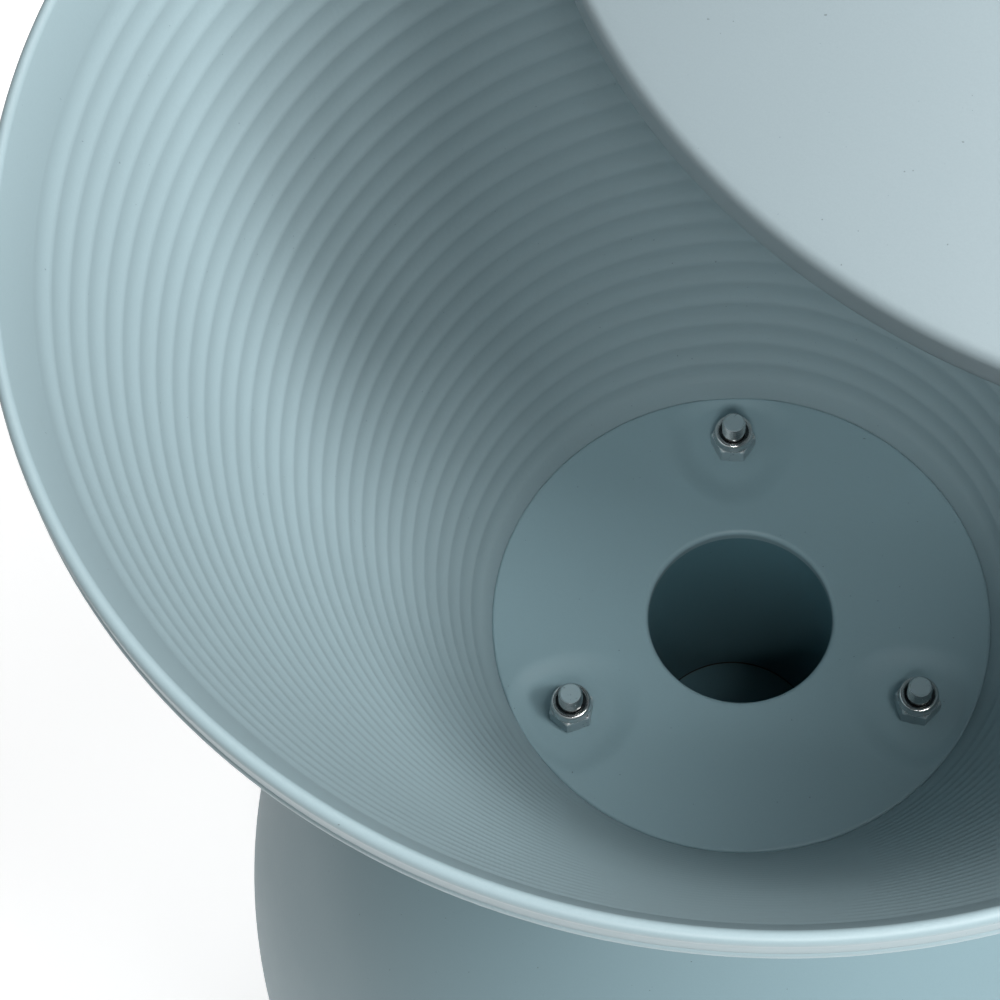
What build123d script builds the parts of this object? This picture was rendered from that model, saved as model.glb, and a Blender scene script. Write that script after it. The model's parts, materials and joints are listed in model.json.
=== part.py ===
from build123d import *
import os
from math import atan2, cos, radians, sin, sqrt

# Upward-firing horn loudspeaker, millimetres.
# Origin: centre of the base pad's underside. +Z up, +Y towards the back.
# A spun conical bell stands on an egg-shaped housing that holds the compression
# driver, and a domed deflector swings over the mouth on a side post.

# ---- overall sizes
bell_length = 199.7            # end plate face to the top of the rim
mouth_radius = 148.0           # outside of the rim
plate_radius = 62.4            # bell's inner radius at the end plate's face
housing_radius = 147.0         # widest radius of the housing
housing_length = 332.0         # bottom opening to the flat top
base_radius = 114.5            # housing's outside at the bottom opening
side_curve = 305.0             # profile radius of the housing's upper side
shoulder_drop = 72.0           # flat top down to where the shoulder starts
equator_drop = 195.0           # flat top down to the widest radius

# ---- walls and clearances
bell_wall = 2.0
housing_wall = 2.5
rim_roll = 1.45                # radius of the roll along the top of the rim
rim_hem = 1.2                  # radius of the bead along the skirt's edge
rim_skirt = 6.0                # roll's centre down to the hem's
rim_groove = 0.4               # skirt's face behind the roll and the hem
rim_sheet = 1.4                # thickness of the skirt
running_gap = 0.06             # radial, for a part that turns on another
hole_gap = 0.15                # radial, for a screw or stud in its hole
thread_gap = 0.02              # radial, for a screw or stud in its thread
free_gap = 0.3                 # between parts that must not touch
past = 1.0                     # how far a cutting tool runs past the metal

# ---- ribs spun into the bell's inner wall
rib_count = 32
rib_start = 4.5                # first rib above the plate's face
rib_end_margin = 11.9          # last rib below the top of the rim
rib_depth = 0.3

# ---- base
pad_margin = 4.0               # pad's edge to the nearest screw head
pad_thickness = 5.0
base_thickness = 10.0
base_chamfer = 1.5
base_gasket_thickness = 1.5
base_gasket_inset = 0.5        # gasket's edge inside the housing's
base_gasket_width = 16.0
bottom_flange_width = 18.0
bottom_flange_thickness = 3.0
base_screw_count = 6
base_screw_radius = 2.5
base_screw_head = 5.0          # radius
base_screw_head_height = 5.0
base_head_pocket = 6.0

# ---- neck stack, from the housing's flat top up to the end plate
housing_top_thickness = 3.0
top_ring_margin = 9.0          # stud circle to the welded ring's edge
neck_gasket_thickness = 1.0
collar_height = 12.0
collar_margin = 6.0            # stud circle to the collar's edge
collar_fillet = 1.5
collar_inner_fillet = 8.0      # where the arm meets the ring and the eye
collar_eye_wall = 2.0
flat_top_margin = 0.9          # collar's edge to the edge of the housing's flat top
bell_flange_thickness = 2.0
plate_thickness = 3.0
dimple_depth = 1.2
dimple_floor = 7.0
dimple_mouth = 12.0
throat_lip = 1.0               # fillet round the throat's mouth

# ---- throat, a turned tube with two flanges shrunk on
throat_radius = 23.0
throat_depth = 83.0
throat_wall = 3.0
top_flange = 10.0
top_flange_margin = 5.0       # stud circle to the flange's edge
foot_flange_margin = 8.0      # bolt circle to the foot's edge
foot_flange = 8.0

# ---- studs
stud_count = 3
stud_margin = 13.4             # stud circle to the edge of the end plate
stud_radius = 3.0
stud_above_plate = 11.0
stud_tail = 3.0                # below the back nut
stud_chamfer = 0.5
nut_wall = 2.0                 # thread to the nut's flats
nut_height = 5.0
back_nut_height = 5.0
insert_height = 2.6
insert_wall = 1.3
nut_collar_wall = 0.6          # of the ring that holds the insert

# ---- compression driver
driver_margin = 5.0            # motor screw circle to the driver's edge
driver_gasket_thickness = 1.0
exit_radius = 9.5
front_plate_thickness = 12.0
clamp_ring_thickness = 4.0
top_plate_thickness = 8.0
magnet_radius = 50.0
magnet_bore = 32.0
magnet_height = 18.0
yoke_thickness = 8.0
cap_height = 20.0
cap_wall = 3.0
pole_radius = 20.8
coil_inner = 21.6
coil_outer = 22.4
gap_outer = 23.2
diaphragm_radius = 29.0
diaphragm_travel = 0.4
motor_screw_circle = 55.0
driver_bolt_circle = 42.0
driver_bolt_radius = 2.5
motor_screw_radius = 2.0
cap_screw_circle = 44.0

# ---- crossover
board_length = 100.0
board_width = 70.0
board_thickness = 1.6
pillar_height = 12.0
pillar_radius = 4.0
pillar_inset = 7.0
coil_height = 22.0
coil_radius = 17.0
winding_inset = 1.0            # winding's edge inside the bobbin's
capacitor_radius = 12.0
capacitor_height = 38.0

# ---- cable gland at the back
gland_height = 70.0
gland_boss_radius = 15.0
gland_boss_step = 3.65         # boss face beyond the housing's wall
gland_boss_length = 13.0
gland_thread = 8.0
gland_hex = 22.0
gland_flange = 5.0
gland_nose = 9.0               # radius of the threaded nose
gland_nose_length = 12.0
cable_radius = 3.5
seal_wall = 3.0
seal_length = 11.0

# ---- post and deflector
post_angle = -30.0             # direction of the post round the axis
post_radius = 7.0
post_gap = 7.0                 # post's surface to the outside of the rim
post_ring_wall = 5.0           # of the collar, foot and washers round the post
hub_gap = 3.0                  # rim to the underside of the hub
deflector_gap = 17.3           # rim to the deflector's lower edge
deflector_overhang = 0.0       # deflector's edge beyond the rim's
deflector_skirt = 8.0
deflector_rise = 30.0
deflector_wall = 2.0
deflector_corner = 3.0
rest_swing = 47.4              # how far the deflector rests from closed
bush_wall = 2.0
hub_wall = 3.5
hub_height = 28.0
swing_arm_width = 22.0
swing_arm_thickness = 5.0
swing_arm_end = 17.0           # radius under the stem
arm_edge = 0.8                 # rounding of the arm's and the hub's edges
stem_radius = 8.0
stem_foot_radius = 14.0
stem_foot = 4.0

# ---- places worked out from the sizes above
base_top = pad_thickness + base_thickness
housing_bottom = base_top + base_gasket_thickness
housing_top = housing_bottom + housing_length
collar_bottom = housing_top + neck_gasket_thickness
collar_top = collar_bottom + collar_height
bell_flange_top = collar_top + bell_flange_thickness
plate_face = bell_flange_top + plate_thickness
rim_top = plate_face + bell_length
equator = housing_top - equator_drop
roll_height = bell_length - rim_roll
bell_flare = (mouth_radius - 2 * rim_roll - plate_radius) / roll_height
cone_angle = atan2(bell_flare, 1.0)
rib_end = bell_length - rib_end_margin
throat_floor = plate_face - throat_depth
throat_outer = throat_radius + throat_wall
stud_circle = plate_radius - stud_margin
stud_angles = [90 + 360 / stud_count * i for i in range(stud_count)]
collar_radius = stud_circle + collar_margin
top_ring_radius = stud_circle - top_ring_margin
flat_top_radius = collar_radius + flat_top_margin
top_flange_radius = stud_circle + top_flange_margin
foot_flange_radius = driver_bolt_circle + foot_flange_margin
driver_radius = motor_screw_circle + driver_margin
nut_across_flats = 2 * (stud_radius + nut_wall)
insert_radius = stud_radius + insert_wall
bush_radius = post_radius + bush_wall
hub_radius = bush_radius + hub_wall
post_ring = post_radius + post_ring_wall
post_distance = mouth_radius + post_gap + post_radius
hub_bottom = rim_top + hub_gap
hub_top = hub_bottom + hub_height
arm_bottom = hub_bottom + swing_arm_thickness
skirt_bottom = rim_top + deflector_gap
edge_height = skirt_bottom + deflector_skirt
deflector_radius = mouth_radius + deflector_overhang
dome_curve = (deflector_radius ** 2 + deflector_rise ** 2) / (2 * deflector_rise)
post_x = post_distance * cos(radians(post_angle))
post_y = post_distance * sin(radians(post_angle))
closed_angle = post_angle + 180.0
rest_angle = closed_angle - rest_swing


# ---- helpers
def disc(radius, low, high):
    return Pos(0, 0, low) * Cylinder(radius, high - low, align=(Align.CENTER, Align.CENTER, Align.MIN))


def tube(outer, inner, low, high):
    return disc(outer, low, high) - disc(inner, low - past, high + past)


def hexagon(across_flats, low, high):
    outline = RegularPolygon(across_flats / 2, 6, major_radius=False)
    return extrude(Pos(0, 0, low) * outline, high - low)


def nut_blank(across_flats, low, high):
    # hexagon with its corners turned off at both ends
    flat = across_flats / 2
    corner = flat / cos(radians(30))
    drop = (corner - flat) / 2
    turned = spun(polyline([
        point(0, low),
        point(flat, low),
        point(corner, low + drop),
        point(corner, high - drop),
        point(flat, high),
        point(0, high),
        point(0, low),
    ]))
    return hexagon(across_flats, low, high) & turned


def block(x_size, y_size, low, high):
    return Pos(0, 0, low) * Box(x_size, y_size, high - low, align=(Align.CENTER, Align.CENTER, Align.MIN))


def polar(radius, angle):
    return Pos(radius * cos(radians(angle)), radius * sin(radians(angle)), 0)


def around(shape, radius, angles):
    return [polar(radius, angle) * Rot(0, 0, angle) * shape for angle in angles]


def evenly(count, first=0.0):
    return [first + 360 / count * i for i in range(count)]


def cut(shape, tools):
    for tool in tools:
        shape = shape - tool
    return shape


def spun(edges):
    return revolve(make_face(edges), Axis.Z)


def point(radius, height):
    return Vector(radius, 0, height)


def polyline(points):
    return [Line(a, b) for a, b in zip(points, points[1:])]


def screw(shank, length, head, head_height):
    # head on top, shank hanging down from z = 0
    return disc(shank, -length, 0) + disc(head, 0, head_height)


def at_post(shape):
    return Pos(post_x, post_y, 0) * shape


def swung(shape):
    # drawn with the arm along +X from the post, turned to the rest direction
    return at_post(Rot(0, 0, rest_angle) * shape)


def backwards(shape):
    # drawn along +Z from the origin, laid along +Y at the gland's height
    return Pos(0, 0, gland_height) * Rot(-90, 0, 0) * shape


# ---- housing profile: a lower side, an upper side and a shoulder, each arc tangent to the next
shoulder_height = housing_top - shoulder_drop
lower_rise = equator - housing_bottom
lower_inset = housing_radius - base_radius
lower_curve = (lower_rise ** 2 + lower_inset ** 2) / (2 * lower_inset)
upper_centre = housing_radius - side_curve
shoulder_side = upper_centre + sqrt(side_curve ** 2 - (shoulder_height - equator) ** 2)
lean = atan2(shoulder_height - equator, shoulder_side - upper_centre)
shoulder_run = shoulder_side - flat_top_radius
shoulder_across = 2 * (cos(lean) * shoulder_run - sin(lean) * shoulder_drop)
shoulder_curve = (shoulder_run ** 2 + shoulder_drop ** 2) / shoulder_across
shoulder_centre_r = shoulder_side - shoulder_curve * cos(lean)
shoulder_centre_z = shoulder_height - shoulder_curve * sin(lean)


def housing_radius_at(height, inset=0.0):
    if height > shoulder_height - inset * sin(lean):
        curve = shoulder_curve - inset
        return shoulder_centre_r + sqrt(curve ** 2 - (height - shoulder_centre_z) ** 2)
    if height > equator:
        return upper_centre + sqrt((side_curve - inset) ** 2 - (height - equator) ** 2)
    curve = lower_curve - inset
    return housing_radius - lower_curve + sqrt(curve ** 2 - (height - equator) ** 2)


def housing_body(inset, low, high):
    joins = [low, equator, shoulder_height - inset * sin(lean), high]
    arcs = []
    for start, end in zip(joins, joins[1:]):
        heights = [start, (start + end) / 2, end]
        arcs.append(ThreePointArc(*[point(housing_radius_at(z, inset), z) for z in heights]))
    closing = polyline([arcs[-1] @ 1, point(0, high), point(0, low), arcs[0] @ 0])
    return spun(arcs + closing)


gland_boss_reach = housing_radius_at(gland_height) + gland_boss_step
base_screw_circle = base_radius - bottom_flange_width / 2 - housing_wall
pad_radius = base_screw_circle - base_screw_head - pad_margin


def bell_radius_at(height):
    # inner wall of the bell at a height above the plate's face
    return plate_radius + height * bell_flare


# ---- base
def base_pad():
    return disc(pad_radius, 0, pad_thickness)


def base_screw_angles():
    return evenly(base_screw_count, 30)


def base_plate():
    plate = disc(base_radius, pad_thickness, base_top)
    plate = chamfer(plate.edges().group_by(Axis.Z)[0], base_chamfer)
    hole = disc(base_screw_radius + hole_gap, pad_thickness - past, base_top + past)
    pocket = disc(base_screw_head + free_gap, pad_thickness - past, pad_thickness + base_head_pocket)
    return cut(plate, around(hole + pocket, base_screw_circle, base_screw_angles()))


def base_gasket():
    outer = base_radius - base_gasket_inset
    ring = tube(outer, outer - base_gasket_width, base_top, housing_bottom)
    hole = disc(base_screw_radius + hole_gap, base_top - past, housing_bottom + past)
    return cut(ring, around(hole, base_screw_circle, base_screw_angles()))


def base_screws():
    seat = pad_thickness + base_head_pocket
    length = housing_bottom + bottom_flange_thickness - seat
    one = Pos(0, 0, seat) * Rot(180, 0, 0) * screw(
        base_screw_radius, length, base_screw_head, base_screw_head_height)
    return around(one, base_screw_circle, base_screw_angles())


# ---- housing
def housing_shell():
    outer = housing_body(0.0, housing_bottom, housing_top)
    inside_top = housing_top - housing_top_thickness
    inner = housing_body(housing_wall, housing_bottom + bottom_flange_thickness, inside_top)
    opening = base_radius - bottom_flange_width - housing_wall
    shell = outer - inner - disc(opening, housing_bottom - past, equator)
    shell = shell - disc(top_ring_radius + thread_gap, equator, housing_top + past)
    stud_hole = disc(stud_radius + hole_gap, inside_top - past, housing_top + past)
    shell = cut(shell, around(stud_hole, stud_circle, stud_angles))
    flange_top = housing_bottom + bottom_flange_thickness
    screw_hole = disc(base_screw_radius + thread_gap, housing_bottom - past, flange_top + past)
    shell = cut(shell, around(screw_hole, base_screw_circle, base_screw_angles()))
    boss_start = gland_boss_reach - gland_boss_length
    boss = backwards(disc(gland_boss_radius, boss_start, gland_boss_reach))
    bore = backwards(disc(gland_thread + 0.05, boss_start - past, gland_boss_reach + past))
    return shell + boss - bore


def housing_top_ring():
    # welded into the shell's top opening
    return tube(top_ring_radius, throat_outer + free_gap, housing_top - housing_top_thickness, housing_top)


def neck_gasket():
    ring = tube(collar_radius, throat_outer + free_gap, housing_top, collar_bottom)
    hole = disc(stud_radius + hole_gap, housing_top - past, collar_bottom + past)
    return cut(ring, around(hole, stud_circle, stud_angles))


def neck_collar():
    ring = disc(collar_radius, collar_bottom, collar_top)
    arm = polar(post_distance / 2, post_angle) * Rot(0, 0, post_angle) * block(
        post_distance, 2 * post_ring, collar_bottom, collar_top)
    eye = at_post(disc(post_ring + collar_eye_wall, collar_bottom, collar_top))
    collar = ring + arm + eye
    collar = fillet(collar.edges().filter_by(Axis.Z), collar_inner_fillet)
    rims = collar.faces().sort_by(Axis.Z)
    collar = fillet(rims[0].outer_wire().edges() + rims[-1].outer_wire().edges(), collar_fillet)
    collar = collar - disc(throat_outer + free_gap, collar_bottom - past, collar_top + past)
    collar = collar - at_post(disc(post_radius + hole_gap, collar_bottom - past, collar_top + past))
    hole = disc(stud_radius + hole_gap, collar_bottom - past, collar_top + past)
    return cut(collar, around(hole, stud_circle, stud_angles))


# ---- bell
def rib_profile():
    # shallow hollows between crests that lie on the cone
    step = (rib_end - rib_start) / (rib_count - 1)
    tilt = cone_angle
    crests = [rib_start + step * i for i in range(rib_count)]
    arcs = []
    for low, high in zip(crests, crests[1:]):
        middle = (low + high) / 2
        deep = point(bell_radius_at(middle) + rib_depth * cos(tilt), plate_face + middle - rib_depth * sin(tilt))
        start = point(bell_radius_at(low), plate_face + low)
        end = point(bell_radius_at(high), plate_face + high)
        arcs.append(ThreePointArc(start, deep, end))
    return arcs


def bell():
    outward = bell_wall / cos(cone_angle)
    flange_low = collar_top - plate_face
    flange_high = bell_flange_top - plate_face
    roll_top = plate_face + roll_height
    bore = throat_outer + free_gap
    first = point(bell_radius_at(rib_start), plate_face + rib_start)
    last = point(bell_radius_at(rib_end), plate_face + rib_end)
    inner_low = polyline([point(bore, bell_flange_top), point(bell_radius_at(flange_high), bell_flange_top), first])
    outer_side = polyline([
        last,
        point(bell_radius_at(roll_height), roll_top),
        point(bell_radius_at(roll_height) + outward, roll_top),
        point(bell_radius_at(flange_low) + outward, collar_top),
        point(bore, collar_top),
        point(bore, bell_flange_top),
    ])
    wall = spun(inner_low + rib_profile() + outer_side)
    face = mouth_radius - rim_groove
    rim = tube(face, face - rim_sheet, roll_top - rim_skirt, roll_top)
    rim = rim + Pos(0, 0, roll_top) * Torus(mouth_radius - rim_roll, rim_roll)
    rim = rim + Pos(0, 0, roll_top - rim_skirt) * Torus(mouth_radius - rim_hem, rim_hem)
    hole = disc(stud_radius + hole_gap, collar_top - past, bell_flange_top + past)
    return cut(wall + rim, around(hole, stud_circle, stud_angles))


def end_plate():
    low_radius = bell_radius_at(-plate_thickness) - hole_gap
    high_radius = bell_radius_at(0) - hole_gap
    plate = spun(polyline([
        point(0, bell_flange_top),
        point(low_radius, bell_flange_top),
        point(high_radius, plate_face),
        point(0, plate_face),
        point(0, bell_flange_top),
    ]))
    plate = plate - disc(throat_radius, bell_flange_top - past, plate_face + past)
    mouth_edges = plate.edges().filter_by(GeomType.CIRCLE).group_by(SortBy.RADIUS)[0]
    plate = fillet(mouth_edges.sort_by(Axis.Z)[-1], throat_lip)
    dimple = spun(polyline([
        point(0, plate_face - dimple_depth),
        point(dimple_floor, plate_face - dimple_depth),
        point(dimple_mouth, plate_face),
        point(dimple_mouth, plate_face + past),
        point(0, plate_face + past),
        point(0, plate_face - dimple_depth),
    ]))
    hole = disc(stud_radius + hole_gap, bell_flange_top - past, plate_face + past)
    return cut(plate, around(dimple + hole, stud_circle, stud_angles))


# ---- throat tube, its flanges and the studs
top_flange_top = housing_top - housing_top_thickness
top_flange_low = top_flange_top - top_flange
foot_flange_top = throat_floor + foot_flange


def throat_tube():
    return tube(throat_outer, throat_radius, throat_floor, bell_flange_top)


def throat_top_flange():
    flange = tube(top_flange_radius, throat_outer + thread_gap, top_flange_low, top_flange_top)
    stud_hole = disc(stud_radius + hole_gap, top_flange_low - past, top_flange_top + past)
    return cut(flange, around(stud_hole, stud_circle, stud_angles))


def throat_foot_flange():
    flange = tube(foot_flange_radius, throat_outer + thread_gap, throat_floor, foot_flange_top)
    bolt_hole = disc(driver_bolt_radius + hole_gap, throat_floor - past, foot_flange_top + past)
    return cut(flange, around(bolt_hole, driver_bolt_circle, evenly(4, 45)))


nut_seat = plate_face - dimple_depth


def mounting_studs():
    stud = disc(stud_radius, top_flange_low - back_nut_height - stud_tail, plate_face + stud_above_plate)
    stud = chamfer(stud.edges().filter_by(GeomType.CIRCLE), stud_chamfer)
    return around(stud, stud_circle, stud_angles)


def stud_nuts():
    body = nut_blank(nut_across_flats, nut_seat, nut_seat + nut_height)
    hex_top = nut_seat + nut_height
    body = body + disc(insert_radius + nut_collar_wall, hex_top, hex_top + insert_height)
    body = body - disc(insert_radius, hex_top, hex_top + insert_height + past)
    body = body - disc(stud_radius + thread_gap, nut_seat - past, hex_top + past)
    return around(body, stud_circle, stud_angles)


def nut_inserts():
    ring_low = nut_seat + nut_height
    ring = tube(insert_radius, stud_radius + thread_gap, ring_low, ring_low + insert_height)
    return around(ring, stud_circle, stud_angles)


def stud_back_nuts():
    nut = nut_blank(nut_across_flats, top_flange_low - back_nut_height, top_flange_low)
    nut = nut - disc(stud_radius + thread_gap, top_flange_low - back_nut_height - past, top_flange_low + past)
    return around(nut, stud_circle, stud_angles)


# ---- compression driver, stacked downwards from the throat casting
front_top = throat_floor - driver_gasket_thickness
front_low = front_top - front_plate_thickness
clamp_low = front_low - clamp_ring_thickness
top_plate_low = clamp_low - top_plate_thickness
magnet_low = top_plate_low - magnet_height
yoke_low = magnet_low - yoke_thickness
bolt_length = foot_flange + driver_gasket_thickness + 9.0
bolt_angles = evenly(4, 45)
motor_angles = evenly(4, 0)


def driver_gasket():
    ring = tube(foot_flange_radius - 2, throat_radius, front_top, throat_floor)
    hole = disc(driver_bolt_radius + hole_gap, front_top - past, throat_floor + past)
    return cut(ring, around(hole, driver_bolt_circle, bolt_angles))


def front_plate():
    plate = disc(driver_radius, front_low, front_top)
    passage = spun(polyline([
        point(0, front_low - 0.01),
        point(diaphragm_radius, front_low - 0.01),
        point(diaphragm_radius, front_low + 2),
        point(exit_radius, front_top),
        point(0, front_top),
        point(0, front_low - 0.01),
    ]))
    plate = plate - passage
    bolt_hole = disc(driver_bolt_radius + thread_gap, foot_flange_top - bolt_length, front_top + past)
    plate = cut(plate, around(bolt_hole, driver_bolt_circle, bolt_angles))
    motor_hole = disc(motor_screw_radius + thread_gap, front_low - past, front_low + 8)
    return cut(plate, around(motor_hole, motor_screw_circle, motor_angles))


def phase_plug():
    # a rounded cone held in the passage by three thin vanes
    bullet = spun(polyline([
        point(0, front_low + 3),
        point(11, front_low + 3),
        point(9, front_low + 7),
        point(3, front_top - 1),
        point(0, front_top - 1),
        point(0, front_low + 3),
    ]))
    vane = Pos(10, 0, 0) * block(20, 1.6, front_low + 3.5, front_low + 6.5)
    vanes = around(vane, 0.01, evenly(3, 30))
    passage = spun(polyline([
        point(0, front_low + 2),
        point(diaphragm_radius, front_low + 2),
        point(exit_radius, front_top),
        point(0, front_top),
        point(0, front_low + 2),
    ]))
    plug = bullet
    for one in vanes:
        plug = plug + (one & passage)
    return plug


def clamp_ring():
    ring = tube(driver_radius, diaphragm_radius + free_gap, clamp_low, front_low)
    hole = disc(motor_screw_radius + hole_gap, clamp_low - past, front_low + past)
    return cut(ring, around(hole, motor_screw_circle, motor_angles))


def top_plate():
    plate = tube(driver_radius, gap_outer, top_plate_low, clamp_low)
    hole = disc(motor_screw_radius + hole_gap, top_plate_low - past, clamp_low + past)
    return cut(plate, around(hole, motor_screw_circle, motor_angles))


def magnet_ring():
    return tube(magnet_radius, magnet_bore, magnet_low, top_plate_low)


pole_top = clamp_low + 0.5


def pole_yoke():
    yoke = disc(driver_radius - 5, yoke_low, magnet_low) + disc(pole_radius, magnet_low, pole_top)
    hole = disc(motor_screw_radius + thread_gap, yoke_low - past, yoke_low + 6)
    return cut(yoke, around(hole, cap_screw_circle, motor_angles))


def rear_cap():
    low = yoke_low - cap_height
    cap = disc(driver_radius - 10, low, yoke_low)
    cap = cap - disc(driver_radius - 22, low + cap_wall, yoke_low + past)
    hole = disc(motor_screw_radius + hole_gap, low - past, yoke_low + past)
    return cut(cap, around(hole, cap_screw_circle, motor_angles))


def rear_cap_screws():
    low = yoke_low - cap_height
    one = Pos(0, 0, low) * Rot(180, 0, 0) * screw(motor_screw_radius, cap_height + 5, 3.5, 2.5)
    return around(one, cap_screw_circle, motor_angles)


def motor_screws():
    length = top_plate_thickness + clamp_ring_thickness + 7
    one = Pos(0, 0, top_plate_low) * Rot(180, 0, 0) * screw(motor_screw_radius, length, 3.5, 2.5)
    return around(one, motor_screw_circle, motor_angles)


def driver_bolts():
    one = Pos(0, 0, foot_flange_top) * screw(driver_bolt_radius, bolt_length, 4.5, 4.5)
    return around(one, driver_bolt_circle, bolt_angles)


def driver_terminals():
    low = yoke_low - cap_height
    tab = block(6.3, 0.8, low - 8, low)
    return [Pos(x, 0, 0) * tab for x in (-10, 10)]


diaphragm_rest_gap = 0.8       # clear of the magnet's plate at full travel
diaphragm_low = clamp_low + diaphragm_travel + diaphragm_rest_gap
diaphragm_sheet = 0.3
crown_rise = 2.2


def diaphragm():
    # shallow crown inside a flat surround that stops short of the clamp ring
    crown = [
        (0.0, crown_rise),
        (coil_outer * 0.45, crown_rise * 0.8),
        (coil_outer, 0.0),
        (diaphragm_radius - free_gap, 0.0),
    ]
    top = [point(radius, diaphragm_low + diaphragm_sheet + rise) for radius, rise in crown]
    under = [point(radius, diaphragm_low + rise) for radius, rise in reversed(crown)]
    return spun(polyline(top + under + top[:1]))


def voice_coil_former():
    return tube(coil_inner + 0.3, coil_inner, top_plate_low + 1, diaphragm_low)


def voice_coil():
    return tube(coil_outer, coil_inner + 0.3, top_plate_low + 1, top_plate_low + 6)


# ---- crossover board on the base plate
board_low = base_top + pillar_height
board_top = board_low + board_thickness


def at_board_corners(shape):
    x = board_length / 2 - pillar_inset
    y = board_width / 2 - pillar_inset
    return [Pos(i * x, j * y, 0) * shape for i in (-1, 1) for j in (-1, 1)]


def board_pillars():
    pillar = tube(pillar_radius, 1.52, base_top, board_low)
    return at_board_corners(pillar)


def crossover_board():
    board = block(board_length, board_width, board_low, board_top)
    return cut(board, at_board_corners(disc(1.65, board_low - past, board_top + past)))


def board_screws():
    return at_board_corners(Pos(0, 0, board_top) * screw(1.5, 8, 2.8, 2.2))


def coil_bobbin():
    core = tube(9, 5, board_top, board_top + coil_height)
    cheek = tube(coil_radius, 5, 0, 1.5)
    spool = core + Pos(0, 0, board_top) * cheek + Pos(0, 0, board_top + coil_height - 1.5) * cheek
    return Pos(-26, 0, 0) * spool


def crossover_coil():
    return Pos(-26, 0, 0) * tube(coil_radius - winding_inset, 9, board_top + 1.5, board_top + coil_height - 1.5)


def crossover_capacitor():
    can = disc(capacitor_radius, board_top, board_top + capacitor_height)
    can = fillet(can.edges().group_by(Axis.Z)[-1], 1.0)
    return Pos(14, -16, 0) * can


def terminal_block():
    body = block(30, 12, board_top, board_top + 11)
    hole = disc(2.2, board_top + 4, board_top + 12)
    return Pos(16, 18, 0) * cut(body, [Pos(x, 0, 0) * hole for x in (-9, -3, 3, 9)])


# ---- cable gland
gland_face = gland_boss_reach
gland_end = gland_face + gland_flange + gland_nose_length
seal_proud = 1.0               # out of the gland's nose
seal_end = gland_end + seal_proud
seal_start = seal_end - seal_length
bore_beyond_cable = 1.1        # body's bore past the cable's radius
boss_inside = gland_boss_reach - gland_boss_length


def gland_body():
    body = disc(gland_thread, boss_inside - 7, gland_face)
    body = body + nut_blank(gland_hex, gland_face, gland_face + gland_flange)
    body = body + disc(gland_nose, gland_face + gland_flange, gland_end)
    body = body - disc(cable_radius + bore_beyond_cable, boss_inside - 8, gland_end + past)
    body = body - disc(cable_radius + seal_wall, seal_start, gland_end + past)
    return backwards(body)


def gland_locknut():
    nut = nut_blank(gland_hex, boss_inside - 5, boss_inside)
    return backwards(nut - disc(gland_thread + thread_gap, boss_inside - 6, boss_inside + past))


def gland_seal():
    return backwards(tube(cable_radius + seal_wall - thread_gap, cable_radius, seal_start, seal_end))


def gland_nut():
    low = gland_face + gland_flange + 2.0
    high = seal_end + free_gap + 3.0
    nut = nut_blank(gland_hex, low, high)
    nut = nut - disc(gland_nose + running_gap, low - past, seal_end + free_gap)
    return backwards(nut - disc(cable_radius + 0.8, low - past, high + past))


# ---- post
post_foot = 6.0
ring_chamfer = 0.8
post_cap_inset = 1.0
post_washer_thickness = 1.5
post_nut_height = 10.0
post_top = hub_top + 5.0
collar_ring_height = 12.0
swivel_washer_thickness = 1.5
washer_low = hub_bottom - swivel_washer_thickness
ring_low = washer_low - collar_ring_height


def post():
    low = collar_bottom - post_washer_thickness - post_nut_height - 3
    rod = disc(post_radius, low, post_top) + disc(post_ring, collar_top, collar_top + post_foot)
    foot_edges = rod.edges().filter_by(GeomType.CIRCLE).group_by(SortBy.RADIUS)[-1]
    rod = chamfer(foot_edges.sort_by(Axis.Z)[-1], ring_chamfer)
    return at_post(rod)


def post_washer():
    low = collar_bottom - post_washer_thickness
    return at_post(tube(post_ring + 1, post_radius + hole_gap, low, collar_bottom))


def post_nut():
    high = collar_bottom - post_washer_thickness
    nut = nut_blank(2 * post_radius + 8, high - post_nut_height, high)
    return at_post(nut - disc(post_radius + thread_gap, high - post_nut_height - past, high + past))


def set_screw_hole(length, radius):
    return Rot(0, 0, post_angle) * Rot(0, 90, 0) * disc(radius, post_radius, post_radius + length)


def post_collar():
    ring = disc(post_ring, ring_low, washer_low)
    ring = chamfer(ring.edges().filter_by(GeomType.CIRCLE), ring_chamfer)
    ring = ring - disc(post_radius + thread_gap, ring_low - past, washer_low + past)
    hole = Pos(0, 0, ring_low + collar_ring_height / 2) * set_screw_hole(8, 2.02)
    return at_post(ring - hole)


def collar_screw():
    pin = Rot(0, 0, post_angle) * Rot(0, 90, 0) * disc(2, post_radius + 0.1, post_ring - 0.5)
    return at_post(Pos(0, 0, ring_low + collar_ring_height / 2) * pin)


def swivel_washer():
    return at_post(tube(post_ring, post_radius + hole_gap, washer_low, hub_bottom))


def post_cap():
    low = hub_top + 1.0
    cap = disc(post_ring - post_cap_inset, low, low + 8)
    cap = fillet(cap.edges().group_by(Axis.Z)[-1], 3.0)
    return at_post(cap - disc(post_radius + thread_gap, low - past, post_top))


# ---- deflector, drawn with its centre along +X from the post
lug_length = hub_radius + 29.5
arm_screw_places = [hub_radius + 11.5, hub_radius + 22.5]
thumb_height = hub_bottom + hub_height - 8.0


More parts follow.
